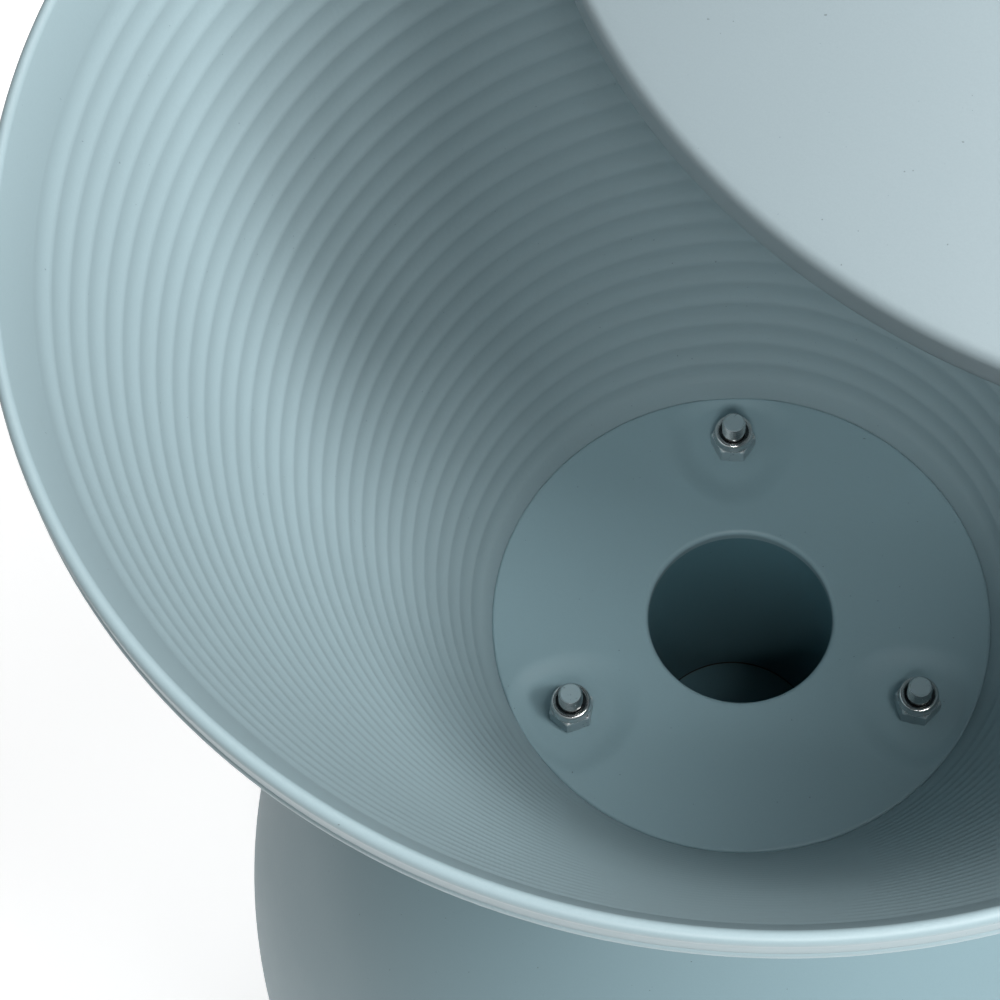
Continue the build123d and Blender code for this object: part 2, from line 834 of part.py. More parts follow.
def swivel_hub():
    hub = disc(hub_radius, hub_bottom, hub_top)
    lug = Pos(lug_length / 2, 0, 0) * block(lug_length, swing_arm_width, hub_bottom, arm_bottom)
    lug = fillet(lug.edges().filter_by(Axis.Z), 4.0)
    hub = hub + lug
    hub = fillet(hub.edges().group_by(Axis.Z)[-1], arm_edge)
    hub = hub - disc(bush_radius + thread_gap, hub_bottom - past, hub_top + past)
    holes = [Pos(x, 0, 0) * disc(2.02, hub_bottom - past, arm_bottom + past) for x in arm_screw_places]
    thread = Pos(0, 0, thumb_height) * Rot(0, -90, 0) * disc(3.06, bush_radius - past, hub_radius + 2)
    return swung(cut(hub, holes) - thread)


def hub_bush():
    bush = tube(bush_radius, post_radius + running_gap, hub_bottom, hub_top)
    slot = Pos(0, 0, thumb_height) * Rot(0, -90, 0) * disc(3.3, post_radius - past, bush_radius + past)
    return swung(bush - slot)


def deflector_arm():
    top = arm_bottom + swing_arm_thickness
    start = hub_radius + 1.5
    bar = Pos((start + post_distance) / 2, 0, 0) * block(post_distance - start, swing_arm_width, arm_bottom, top)
    bar = bar + Pos(post_distance, 0, 0) * disc(swing_arm_end, arm_bottom, top)
    bar = fillet(bar.faces().sort_by(Axis.Z)[-1].outer_wire().edges(), arm_edge)
    holes = [Pos(x, 0, 0) * disc(2.15, arm_bottom - past, top + past) for x in arm_screw_places]
    centre_hole = Pos(post_distance, 0, 0) * disc(3.15, arm_bottom - past, top + past)
    return swung(cut(bar, holes + [centre_hole]))


def arm_screws():
    top = arm_bottom + swing_arm_thickness
    one = Pos(0, 0, top) * screw(2, swing_arm_thickness + 4, 3.8, 2.6)
    return [swung(Pos(x, 0, 0) * one) for x in arm_screw_places]


dome_centre = edge_height + deflector_rise - dome_curve
corner_r = deflector_radius - deflector_corner
corner_z = dome_centre + sqrt((dome_curve - deflector_corner) ** 2 - corner_r ** 2)


def dome_height_at(radius, inset=0.0):
    return dome_centre + sqrt((dome_curve - inset) ** 2 - radius ** 2)


def dome_side(inset):
    # crown arc, rounded corner and straight skirt of the dome's outside, or of its inside
    start_lean = atan2(corner_z - dome_centre, corner_r)
    corner = deflector_corner - inset
    corner_points = []
    for turn in (start_lean, start_lean / 2, 0.0):
        corner_points.append(point(corner_r + corner * cos(turn), corner_z + corner * sin(turn)))
    crown_end = corner_points[0]
    crown_middle = point(crown_end.X / 2, dome_height_at(crown_end.X / 2, inset))
    foot = point(deflector_radius - inset, skirt_bottom)
    return [
        ThreePointArc(point(0, dome_height_at(0, inset)), crown_middle, crown_end),
        ThreePointArc(*corner_points),
        Line(corner_points[2], foot),
    ]


def deflector_dome():
    foot = Line(point(deflector_radius, skirt_bottom), point(deflector_radius - deflector_wall, skirt_bottom))
    middle = Line(point(0, dome_height_at(0, deflector_wall)), point(0, dome_height_at(0)))
    dome = spun(dome_side(0.0) + [foot] + dome_side(deflector_wall) + [middle])
    dome = dome - disc(3.15, edge_height, edge_height + deflector_rise + past)
    return swung(Pos(post_distance, 0, 0) * dome)


stem_low = arm_bottom + swing_arm_thickness
stem_top = dome_height_at(stem_radius, deflector_wall) - 0.05


def deflector_stem():
    stem = disc(stem_radius, stem_low, stem_top) + disc(stem_foot_radius, stem_low, stem_low + stem_foot)
    stem = stem - disc(2.52, stem_low - past, stem_top + past)
    return swung(Pos(post_distance, 0, 0) * stem)


def stem_screw():
    length = swing_arm_thickness + 14
    one = Pos(0, 0, arm_bottom) * Rot(180, 0, 0) * screw(2.5, length, 4.5, 2.8)
    return swung(Pos(post_distance, 0, 0) * one)


def dome_screw():
    seat = dome_height_at(0)
    head = Pos(0, 0, seat) * disc(6.5, 0, 3.4)
    head = fillet(head.edges().group_by(Axis.Z)[-1], 1.6)
    one = head + disc(2.5, seat - deflector_wall - 12, seat)
    return swung(Pos(post_distance, 0, 0) * one)


# ---- thumb screw, on the side of the hub away from the deflector
thumb_tip = post_radius + free_gap
knob_start = hub_radius + 2.0
knob_length = 9.0
knob_radius = 9.0


def thumb(shape):
    return swung(Pos(0, 0, thumb_height) * Rot(0, -90, 0) * shape)


def thumb_screw():
    return thumb(disc(3, thumb_tip, knob_start + 6))


def thumb_knob():
    knob = disc(knob_radius, knob_start, knob_start + knob_length)
    knob = fillet(knob.edges().filter_by(GeomType.CIRCLE), 1.0)
    knob = knob - disc(3.02, knob_start - past, knob_start + 6)
    flute = disc(1.2, knob_start - past, knob_start + knob_length + past)
    return thumb(cut(knob, around(flute, knob_radius + 0.4, evenly(14))))


# ---- every node, by name
nodes = {
    "base_pad": base_pad,
    "base_plate": base_plate,
    "base_gasket": base_gasket,
    "base_screws": base_screws,
    "housing_shell": housing_shell,
    "housing_top_ring": housing_top_ring,
    "neck_gasket": neck_gasket,
    "neck_collar": neck_collar,
    "bell": bell,
    "end_plate": end_plate,
    "throat_tube": throat_tube,
    "throat_top_flange": throat_top_flange,
    "throat_foot_flange": throat_foot_flange,
    "mounting_studs": mounting_studs,
    "stud_nuts": stud_nuts,
    "nut_inserts": nut_inserts,
    "stud_back_nuts": stud_back_nuts,
    "driver_gasket": driver_gasket,
    "driver_front_plate": front_plate,
    "phase_plug": phase_plug,
    "clamp_ring": clamp_ring,
    "magnet_top_plate": top_plate,
    "magnet_ring": magnet_ring,
    "pole_yoke": pole_yoke,
    "driver_rear_cap": rear_cap,
    "rear_cap_screws": rear_cap_screws,
    "motor_screws": motor_screws,
    "driver_bolts": driver_bolts,
    "driver_terminals": driver_terminals,
    "diaphragm": diaphragm,
    "voice_coil_former": voice_coil_former,
    "voice_coil": voice_coil,
    "board_pillars": board_pillars,
    "crossover_board": crossover_board,
    "board_screws": board_screws,
    "coil_bobbin": coil_bobbin,
    "crossover_coil": crossover_coil,
    "crossover_capacitor": crossover_capacitor,
    "terminal_block": terminal_block,
    "gland_body": gland_body,
    "gland_locknut": gland_locknut,
    "gland_seal": gland_seal,
    "gland_nut": gland_nut,
    "deflector_post": post,
    "post_washer": post_washer,
    "post_nut": post_nut,
    "post_collar": post_collar,
    "collar_set_screw": collar_screw,
    "swivel_washer": swivel_washer,
    "post_cap": post_cap,
    "swivel_hub": swivel_hub,
    "hub_bush": hub_bush,
    "deflector_arm": deflector_arm,
    "arm_screws": arm_screws,
    "deflector_dome": deflector_dome,
    "deflector_stem": deflector_stem,
    "stem_screw": stem_screw,
    "dome_screw": dome_screw,
    "thumb_screw": thumb_screw,
    "thumb_knob": thumb_knob,
}

os.makedirs("parts", exist_ok=True)
for name, make in nodes.items():
    shape = make()
    if isinstance(shape, list):
        shape = Compound(children=[solid for piece in shape for solid in piece.solids()])
    export_step(shape, f"parts/{name}.step")
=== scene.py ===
import json
import bpy
import bmesh
import numpy as np
from math import atan2, cos, pi, radians, sin, sqrt, tan
from mathutils import Matrix, Vector


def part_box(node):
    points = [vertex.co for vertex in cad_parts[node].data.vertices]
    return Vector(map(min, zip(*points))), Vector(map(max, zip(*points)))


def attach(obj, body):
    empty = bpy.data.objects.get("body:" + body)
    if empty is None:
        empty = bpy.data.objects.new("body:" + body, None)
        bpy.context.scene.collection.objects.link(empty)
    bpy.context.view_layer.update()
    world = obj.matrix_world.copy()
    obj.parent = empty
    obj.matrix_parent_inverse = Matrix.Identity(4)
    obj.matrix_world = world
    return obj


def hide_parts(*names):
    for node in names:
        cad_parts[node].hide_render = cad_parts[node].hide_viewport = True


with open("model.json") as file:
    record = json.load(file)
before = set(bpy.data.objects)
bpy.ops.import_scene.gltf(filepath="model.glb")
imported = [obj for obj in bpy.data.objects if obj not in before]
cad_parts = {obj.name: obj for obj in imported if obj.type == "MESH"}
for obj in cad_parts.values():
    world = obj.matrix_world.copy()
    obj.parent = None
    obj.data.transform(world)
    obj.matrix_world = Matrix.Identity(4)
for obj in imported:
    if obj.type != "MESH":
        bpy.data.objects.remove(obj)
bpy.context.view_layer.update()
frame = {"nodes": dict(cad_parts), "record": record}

# An upward-firing horn loudspeaker: ribbed bell, egg-shaped housing, deflector on a post.
# Lengths are in metres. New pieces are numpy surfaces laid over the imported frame.

scene = bpy.context.scene
nodes = frame["nodes"]


# mesh helpers

def gridPiece(name, grid, body, wrapRows=False, wrapCols=True, creaseAngle=38.0):
    # grid is rows x columns x 3; each cell becomes one quad, wrapped round where asked
    rows, cols = grid.shape[:2]
    index = np.arange(rows * cols).reshape(rows, cols)
    nextRow = np.roll(index, -1, 0) if wrapRows else index[1:]
    here = index if wrapRows else index[:-1]
    quads = np.stack([here, np.roll(here, -1, 1), np.roll(nextRow, -1, 1), nextRow], -1)
    if not wrapCols:
        quads = quads[:, :-1]
    quads = quads.reshape(-1, 4)
    mesh = bpy.data.meshes.new(name)
    mesh.from_pydata(grid.reshape(-1, 3).tolist(), [], quads.tolist())
    return finishPiece(name, mesh, body, creaseAngle)


def finishPiece(name, mesh, body, creaseAngle=38.0):
    # joins doubled points at poles and seams, turns the faces outwards, shades smooth with
    # real creases kept
    work = bmesh.new()
    work.from_mesh(mesh)
    bmesh.ops.remove_doubles(work, verts=work.verts, dist=1e-7)
    bmesh.ops.recalc_face_normals(work, faces=work.faces)
    work.to_mesh(mesh)
    work.free()
    mesh.polygons.foreach_set("use_smooth", np.ones(len(mesh.polygons), bool))
    mesh.set_sharp_from_angle(angle=radians(creaseAngle))
    piece = bpy.data.objects.new(name, mesh)
    scene.collection.objects.link(piece)
    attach(piece, body)
    return piece


def turned(radius, height, segments):
    # a profile turned about the z axis: x = r cos a, y = r sin a
    angle = np.linspace(0, 2 * pi, segments, endpoint=False)
    x = np.outer(radius, np.cos(angle))
    y = np.outer(radius, np.sin(angle))
    z = np.repeat(np.asarray(height, float)[:, None], segments, 1)
    return np.stack([x, y, z], -1)


def arcPoints(centreR, centreZ, radius, start, end, count):
    # points of a circle's arc in the profile plane, angles in degrees from +r towards +z
    angle = np.radians(np.linspace(start, end, count))
    return centreR + radius * np.cos(angle), centreZ + radius * np.sin(angle)


def joinRuns(*runs):
    # several (r, z) runs end to end, without the repeated joint points
    r = np.concatenate([np.atleast_1d(run[0]) for run in runs])
    z = np.concatenate([np.atleast_1d(run[1]) for run in runs])
    keep = np.ones(len(r), bool)
    keep[1:] = np.hypot(np.diff(r), np.diff(z)) > 1e-7
    return r[keep], z[keep]


def straight(r0, z0, r1, z1, count=2):
    return np.linspace(r0, r1, count), np.linspace(z0, z1, count)


def smoothStep(t):
    t = np.clip(t, 0, 1)
    return t * t * (3 - 2 * t)


def middleOf(node):
    low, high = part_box(node)
    return (low + high) / 2


# material helpers

def newMaterial(name):
    material = bpy.data.materials.new(name)
    material.use_nodes = True
    tree = material.node_tree
    shader = tree.nodes["Principled BSDF"]
    coords = tree.nodes.new("ShaderNodeTexCoord")
    return material, tree, shader, coords.outputs["Object"]


def noiseNode(tree, coords, scale, detail=2.0, rough=0.5):
    node = tree.nodes.new("ShaderNodeTexNoise")
    node.inputs["Scale"].default_value = scale
    node.inputs["Detail"].default_value = detail
    node.inputs["Roughness"].default_value = rough
    tree.links.new(coords, node.inputs["Vector"])
    return node.outputs["Fac"]


def rampNode(tree, value, low, high, colourLow=(0, 0, 0, 1), colourHigh=(1, 1, 1, 1)):
    node = tree.nodes.new("ShaderNodeValToRGB")
    node.color_ramp.elements[0].position = low
    node.color_ramp.elements[1].position = high
    node.color_ramp.elements[0].color = colourLow
    node.color_ramp.elements[1].color = colourHigh
    tree.links.new(value, node.inputs["Fac"])
    return node.outputs["Color"]


def mixNode(tree, factor, first, second):
    # first and second are colours or sockets
    node = tree.nodes.new("ShaderNodeMix")
    node.data_type = "RGBA"
    if isinstance(factor, float):
        node.inputs["Factor"].default_value = factor
    else:
        tree.links.new(factor, node.inputs["Factor"])
    for socket, value in ((node.inputs[6], first), (node.inputs[7], second)):
        if isinstance(value, bpy.types.NodeSocket):
            tree.links.new(value, socket)
        else:
            socket.default_value = (*value, 1.0)
    return node.outputs[2]


def bumpNode(tree, height, strength, distance, normal=None):
    node = tree.nodes.new("ShaderNodeBump")
    node.inputs["Strength"].default_value = strength
    node.inputs["Distance"].default_value = distance
    tree.links.new(height, node.inputs["Height"])
    if normal is not None:
        tree.links.new(normal, node.inputs["Normal"])
    return node.outputs["Normal"]


def rangeNode(tree, value, low, high):
    node = tree.nodes.new("ShaderNodeMapRange")
    node.inputs["To Min"].default_value = low
    node.inputs["To Max"].default_value = high
    tree.links.new(value, node.inputs["Value"])
    return node.outputs["Result"]


coatLook = dict(
    colour=(0.243, 0.324, 0.350),   # blue-grey, linear
    drift=0.035,                    # lighter and darker clouds
    roughness=(0.40, 0.52),
    peelSize=0.0011,                # orange peel of the powder coat
    peelDepth=0.00004,
    grainSize=0.00035,
    speckSize=0.00075,              # of rare tiny dark specks
    speckRange=(0.10, 0.125),       # noise below the first is a speck, above the second is clean
    speckShade=0.45,
    grainLift=1.25,                 # brightness of the grain's tips
)


def powderCoat(name, colour=coatLook["colour"], peel=1.0, gloss=0.45, lacquer=0.15):
    material, tree, shader, coords = newMaterial(name)
    look, base = coatLook, colour
    light = tuple(c * (1 + look["drift"]) for c in base)
    dark = tuple(c * (1 - look["drift"]) for c in base)
    clouds = noiseNode(tree, coords, 9.0, 3.0, 0.6)
    colour = mixNode(tree, clouds, dark, light)
    fine = noiseNode(tree, coords, 1 / look["grainSize"], 2.0, 0.6)
    grain = rangeNode(tree, rampNode(tree, fine, 0.35, 0.65), 0.0, 0.10)
    colour = mixNode(tree, grain, colour, tuple(c * look["grainLift"] for c in base))
    dirt = noiseNode(tree, coords, 1 / look["speckSize"], 0.0)
    speck = rampNode(tree, dirt, *look["speckRange"], (0.8, 0.8, 0.8, 1), (0, 0, 0, 1))
    colour = mixNode(tree, speck, colour, tuple(c * look["speckShade"] for c in base))
    tree.links.new(colour, shader.inputs["Base Color"])
    smudge = noiseNode(tree, coords, 26.0, 4.0, 0.65)
    tree.links.new(rangeNode(tree, smudge, *look["roughness"]), shader.inputs["Roughness"])
    peelWave = noiseNode(tree, coords, 1 / look["peelSize"], 1.0, 0.4)
    normal = bumpNode(tree, peelWave, 0.5 * peel, look["peelDepth"])
    normal = bumpNode(tree, fine, 0.25 * peel, look["peelDepth"] * 0.4, normal)
    tree.links.new(normal, shader.inputs["Normal"])
    shader.inputs["Specular IOR Level"].default_value = gloss
    shader.inputs["Coat Weight"].default_value = lacquer
    shader.inputs["Coat Roughness"].default_value = 0.42
    return material


def metal(name, colour, roughness=(0.22, 0.40), grain=1400.0, tint=0.15):
    material, tree, shader, coords = newMaterial(name)
    patch = noiseNode(tree, coords, grain * 0.2, 3.0, 0.6)
    worn = tuple(c * (1 - tint) for c in colour)
    tree.links.new(mixNode(tree, patch, worn, colour), shader.inputs["Base Color"])
    fine = noiseNode(tree, coords, grain, 2.0, 0.6)
    tree.links.new(rangeNode(tree, fine, *roughness), shader.inputs["Roughness"])
    tree.links.new(bumpNode(tree, fine, 0.25, 0.00002), shader.inputs["Normal"])
    shader.inputs["Metallic"].default_value = 1.0
    return material


def plastic(name, colour, roughness=(0.35, 0.5), grain=2400.0, depth=0.00003):
    material, tree, shader, coords = newMaterial(name)
    clouds = noiseNode(tree, coords, 40.0, 3.0)
    dull = tuple(c * 0.88 for c in colour)
    tree.links.new(mixNode(tree, clouds, dull, colour), shader.inputs["Base Color"])
    fine = noiseNode(tree, coords, grain, 2.0)
    tree.links.new(rangeNode(tree, fine, *roughness), shader.inputs["Roughness"])
    tree.links.new(bumpNode(tree, fine, 0.4, depth), shader.inputs["Normal"])
    return material


coat = powderCoat("blueGreyCoat")
coatFine = powderCoat("blueGreyCoatSmallParts", peel=0.7)
# painted shade: a darker, duller copy of the blue-grey coat for the housing under the bell
housingShadeCoat = powderCoat("blueGreyCoatHousingPaintedShade", (0.184, 0.272, 0.302), gloss=0.2, lacquer=0.0)
# painted shade: a bluer copy of the blue-grey coat for the end plate, which lies in shade
plateShadeCoat = powderCoat("blueGreyCoatPlatePaintedShade", (0.215, 0.318, 0.352), gloss=0.3, lacquer=0.1)
# painted light: a greyer copy of the blue-grey coat for the brightly lit deflector, standing in for
# its sheen
domeLitCoat = powderCoat("blueGreyCoatDomePaintedLight", (0.232, 0.288, 0.310))
# painted shade: a darker copy of the blue-grey coat, standing in for the shade deep in the throat
throatShadeCoat = powderCoat("blueGreyCoatThroatPaintedShade", (0.100, 0.205, 0.240), gloss=0.3, lacquer=0.0)
zinc = metal("zincSteel", (0.55, 0.56, 0.56))
bronze = metal("oiledBronze", (0.45, 0.30, 0.15), (0.3, 0.5))
castMetal = metal("castAluminium", (0.42, 0.43, 0.44), (0.45, 0.6), 900.0)
brassMetal = metal("tinnedBrass", (0.62, 0.50, 0.28))
copper = metal("copperWire", (0.60, 0.27, 0.14), (0.3, 0.45), 3000.0)
foil = metal("diaphragmFoil", (0.70, 0.70, 0.72), (0.2, 0.3))
iron = metal("blackenedIron", (0.10, 0.10, 0.105), (0.45, 0.65), 700.0)
ferrite = plastic("ferriteMagnet", (0.030, 0.030, 0.032), (0.5, 0.7), 1200.0)
nylon = plastic("darkNylon", (0.022, 0.026, 0.028))
insertNylon = plastic("insertNylon", (0.018, 0.028, 0.032), (0.3, 0.45))
rubber = plastic("rubberPad", (0.016, 0.016, 0.017), (0.62, 0.8), 1500.0, 0.00006)
cork = plastic("gasketSheet", (0.060, 0.045, 0.034), (0.75, 0.9), 900.0, 0.0001)
board = plastic("laminateBoard", (0.020, 0.085, 0.045), (0.3, 0.4))
sleeve = plastic("capacitorSleeve", (0.55, 0.42, 0.12), (0.25, 0.35))
paleNylon = plastic("paleNylon", (0.55, 0.56, 0.53))
print("materials made")

finishOf = {
    "coat": coatFine, "bright_steel": zinc, "nylon": nylon, "rubber": rubber, "cork": cork,
    "cast": castMetal, "ferrite": ferrite, "iron": iron, "foil": foil, "copper": copper,
    "board": board, "can": sleeve, "block": paleNylon, "bronze": bronze, "brass": brassMetal,
}
slotOf = {part["node"]: part["material_slot"] for part in frame["record"]["subparts"]}


def paint(piece, material):
    piece.data.materials.clear()
    piece.data.materials.append(material)
    return piece


for name, node in nodes.items():
    paint(node, finishOf[slotOf[name]])
# painted shade: the parts deep in the throat get the darker copy of the coat
for name in ("throat_tube", "driver_front_plate", "phase_plug"):    # seen down the throat
    paint(nodes[name], throatShadeCoat)


# the bell

bellForm = dict(
    innerFoot=0.0624,      # inner radius at the end plate's face
    wall=0.002,
    ribs=32,
    ribsFrom=0.0045,       # first and last crest above the plate's face
    ribsTo=0.1878,
    ribDepth=0.00036,
    crestSharpness=0.85,   # 0 soft wave, 1 scallops that meet in an edge
    stepsPerRib=8,
    roll=0.00145,          # radius of the roll along the rim's top
    hem=0.0012,            # radius of the bead along the skirt's edge
    skirt=0.0060,          # roll's centre down to the hem's
    groove=0.0004,         # skirt's face behind the roll and the hem
    sheet=0.0014,          # thickness of the skirt
    belowRoll=0.0012,      # where the skirt's face starts, under the roll's centre
    overHem=0.0011,        # and where it ends, over the hem's centre
    insideTop=0.0029,      # top of the skirt's inner face, under the roll's centre
    insideHem=0.0010,      # foot of the skirt's inner face, over the hem's centre
    wallTop=0.0036,        # where the outer wall meets the skirt, under the roll's centre
    bore=0.0263,           # hole in the floor, under the end plate
    segments=256,
)

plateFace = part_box("end_plate")[1].z
bellLow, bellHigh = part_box("bell")
mouthRadius = bellHigh.x
rollAbove = bellHigh.z - bellForm["roll"] - plateFace
bellFlare = (mouthRadius - 2 * bellForm["roll"] - bellForm["innerFoot"]) / rollAbove


def bellInner(above):
    return bellForm["innerFoot"] + above * bellFlare


def makeBell():
    # inner wall: r grows with z along the cone, pushed out between crests by depth times a
    # scallop wave; then a roll, a skirt with a hem, and the outer wall back down
    form = bellForm
    tilt = atan2(bellFlare, 1.0)
    count = (form["ribs"] - 1) * form["stepsPerRib"] + 1
    above = np.linspace(form["ribsFrom"], form["ribsTo"], count)
    phase = (np.arange(count) / form["stepsPerRib"]) % 1.0
    scallop = 4 * phase * (1 - phase)
    wave = (1 - np.cos(2 * pi * phase)) / 2
    sharp = form["crestSharpness"]
    hollow = form["ribDepth"] * (sharp * scallop + (1 - sharp) * wave)
    ribR = bellInner(above) + hollow * cos(tilt)
    ribZ = plateFace + above - hollow * sin(tilt)
    rollR, rollZ = mouthRadius - form["roll"], bellHigh.z - form["roll"]
    hemR, hemZ = mouthRadius - form["hem"], rollZ - form["skirt"]
    face = mouthRadius - form["groove"]
    inside = face - form["sheet"]
    lean = 180 - np.degrees(tilt)
    outward = form["wall"] / cos(tilt)
    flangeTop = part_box("end_plate")[0].z
    flangeInner = bellInner(flangeTop - plateFace)
    footOuter = bellInner(bellLow.z - plateFace) + outward
    bore = form["bore"]
    r, z = joinRuns(
        straight(bore, bellLow.z, bore, flangeTop),
        straight(bore, flangeTop, flangeInner, flangeTop, 6),
        straight(flangeInner, flangeTop, ribR[0], ribZ[0], 4),
        (ribR, ribZ),
        arcPoints(rollR, rollZ, form["roll"], lean, -34, 22),
        straight(face, rollZ - form["belowRoll"], face, hemZ + form["overHem"], 5),
        arcPoints(hemR, hemZ, form["hem"], 50, -200, 26),
        straight(inside, hemZ + form["insideHem"], inside, rollZ - form["insideTop"], 3),
        straight(bellInner(rollAbove - form["wallTop"]) + outward, rollZ - form["wallTop"],
                 footOuter, bellLow.z, 40),
        straight(footOuter, bellLow.z, bore, bellLow.z, 6),
    )
    grid = turned(r, z, form["segments"])
    piece = gridPiece("bellShell", grid, "stand", wrapRows=True, creaseAngle=50.0)
    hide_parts("bell")
    return paint(piece, coat)


makeBell()
print("bell made")


# the end plate, with a dimple pulled in round each stud

plateForm = dict(
    dimpleRadius=0.0112,    # towards the axis; wider across it
    dimpleFloor=0.0068,
    dimpleWidth=1.5,        # width over length
    dimpleOut=0.0035,       # its centre lies this much further out than the stud
    dimpleInner=0.5,        # its inner slope is this much as steep as its outer one
    dimpleDepth=0.0012,
    edgeRound=0.0008,
    edgeTaper=0.0013,       # bottom edge inside the top one
    holeRadius=0.023,       # the throat's mouth
    holeRound=0.0012,
    rings=90,
    segments=360,
)

studForm = dict(radius=0.003, pitch=0.001, threadDepth=0.00030, threaded=0.016, chamfer=0.0007,
                stepsPerTurn=14, segments=64)
studLow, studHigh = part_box("mounting_studs")
studCircle = studHigh.y - studForm["radius"]
studAngles = [radians(90 + 120 * i) for i in range(3)]
studSpots = [Vector((studCircle * cos(a), studCircle * sin(a), 0)) for a in studAngles]


def makeEndPlate():
    # a disc with a hole: the top sinks by depth times a smooth step of the distance to the
    # nearest stud, where the distance across the stud's own direction is divided by the width
    form = plateForm
    low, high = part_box("end_plate")
    outer, hole = high.x, form["holeRadius"]
    holeRound, edgeRound = form["holeRound"], form["edgeRound"]
    r, z = joinRuns(
        straight(hole, low.z, hole, high.z - holeRound, 4),
        arcPoints(hole + holeRound, high.z - holeRound, holeRound, 180, 90, 8),
        straight(hole + holeRound, high.z, outer - edgeRound, high.z, form["rings"]),
        arcPoints(outer - edgeRound, high.z - edgeRound, edgeRound, 90, 20, 6),
        straight(outer - form["edgeTaper"], low.z, hole, low.z, 4),
    )
    grid = turned(r, z, form["segments"])
    spots = np.array([[s.x, s.y] for s in studSpots])
    outwards = spots / np.linalg.norm(spots, axis=-1, keepdims=True)
    offset = grid[..., None, :2] - spots
    along = (offset * outwards).sum(-1) - form["dimpleOut"]
    along = np.where(along < 0, along * form["dimpleInner"], along)
    across = offset[..., 0] * outwards[:, 1] - offset[..., 1] * outwards[:, 0]
    distance = np.hypot(along, across / form["dimpleWidth"]).min(-1)
    slope = form["dimpleRadius"] - form["dimpleFloor"]
    share = 1 - smoothStep((distance - form["dimpleFloor"]) / slope)
    onTop = smoothStep((grid[..., 2] - low.z) / (high.z - low.z))
    grid[..., 2] -= form["dimpleDepth"] * share * onTop
    piece = gridPiece("endPlateDimpled", grid, "stand", wrapRows=True)
    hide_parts("end_plate")
    # painted shade: the end plate gets the bluer copy of the coat
    return paint(piece, plateShadeCoat)


makeEndPlate()


# studs and nuts

nutForm = dict(
    acrossFlats=0.010,
    hexHeight=0.005,
    chamferAngle=28.0,
    cornerSpare=0.00002,    # keeps the corners sharp between the two chamfers
    hexTopShare=0.985,      # hexagon's flat top over its half flats
    collarRadius=0.0049,
    collarRound=0.0007,
    collarFoot=0.0001,      # small step where the collar stands on the hexagon
    collarStart=0.0003,     # straight part above that step
    lipRadius=0.0043,
    lipDepth=0.0006,        # lip's inner edge below the nut's top
    lipInset=0.0003,
    pocketFloor=0.0008,     # of the insert's pocket, above the hexagon
    nylonRadius=0.00305,
    segments=96,
)
insertForm = dict(gap=0.00002, lipGap=0.00035, topDepth=0.0009, foot=0.0009, segments=48)
nutLow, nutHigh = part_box("stud_nuts")
hexTop = nutLow.z + nutForm["hexHeight"]


def roundSpot(spot, r, z, angle):
    # rows of radii r at heights z, turned about an upright line through the spot
    x = spot.x + r * np.cos(angle)
    y = spot.y + r * np.sin(angle)
    return np.stack([x, y, np.repeat(z[:, None], len(angle), 1)], -1)


def makeStud(spot, number):
    # a helical thread: r = radius - depth * triangle wave of (z / pitch - angle / 2 pi)
    form = studForm
    low, top = studLow.z, studHigh.z
    steps = int(form["threaded"] / form["pitch"] * form["stepsPerTurn"])
    z = np.concatenate([[low, low], np.linspace(top - form["threaded"], top, steps), [top]])
    angle = np.linspace(0, 2 * pi, form["segments"], endpoint=False)
    wave = np.abs(((z[:, None] / form["pitch"] - angle / (2 * pi)) % 1.0) * 2 - 1)
    r = form["radius"] - form["threadDepth"] * np.clip(1.35 * wave - 0.15, 0, 1)
    topLimit = form["radius"] - 0.9 * np.clip(form["chamfer"] - (top - z), 0, None)
    r = np.minimum(r, topLimit[:, None])
    r[0] = 0
    r[-1] = 0
    grid = roundSpot(spot, r, z, angle)
    piece = gridPiece(f"stud{number}", grid, "stand", creaseAngle=34.0)
    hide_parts("mounting_studs")
    return piece


def makeNut(spot, number, turn):
    # hexagon r = half flats / cos(angle from the flat), cut by a cone at each end, with a
    # turned collar above
    form = nutForm
    seat = nutLow.z
    half = form["acrossFlats"] / 2
    angle = np.linspace(0, 2 * pi, form["segments"], endpoint=False)
    hexagon = half / np.cos((angle - turn + pi / 6) % (pi / 3) - pi / 6)
    corner = half / cos(pi / 6)
    slope = tan(radians(form["chamferAngle"]))
    sideZ = np.linspace(seat, hexTop, 14)
    widest = corner + form["cornerSpare"]
    cone = widest - np.clip(corner - half - (hexTop - sideZ) / slope, 0, None)
    coneLow = widest - np.clip(corner - half - (sideZ - seat) / slope, 0, None)
    side = np.minimum(hexagon[None], np.minimum(cone, coneLow)[:, None])
    collar, collarRound, step = form["collarRadius"], form["collarRound"], form["collarFoot"]
    lip = form["lipRadius"] - form["lipInset"]
    pocket = hexTop + form["pocketFloor"]
    collarR, collarZ = joinRuns(
        straight(half * form["hexTopShare"], hexTop, collar + step, hexTop + step, 3),
        straight(collar, hexTop + form["collarStart"], collar, nutHigh.z - collarRound - step, 3),
        arcPoints(collar - collarRound, nutHigh.z - collarRound, collarRound, 0, 130, 10),
        straight(lip, nutHigh.z - form["lipDepth"], lip, pocket, 3),
        straight(form["nylonRadius"], pocket, form["nylonRadius"], seat, 3),
    )
    r = np.concatenate([side, np.repeat(collarR[:, None], len(angle), 1)])
    grid = roundSpot(spot, r, np.concatenate([sideZ, collarZ]), angle)
    piece = gridPiece(f"lockNut{number}", grid, "stand", wrapRows=True, creaseAngle=30.0)
    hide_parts("stud_nuts")
    return piece


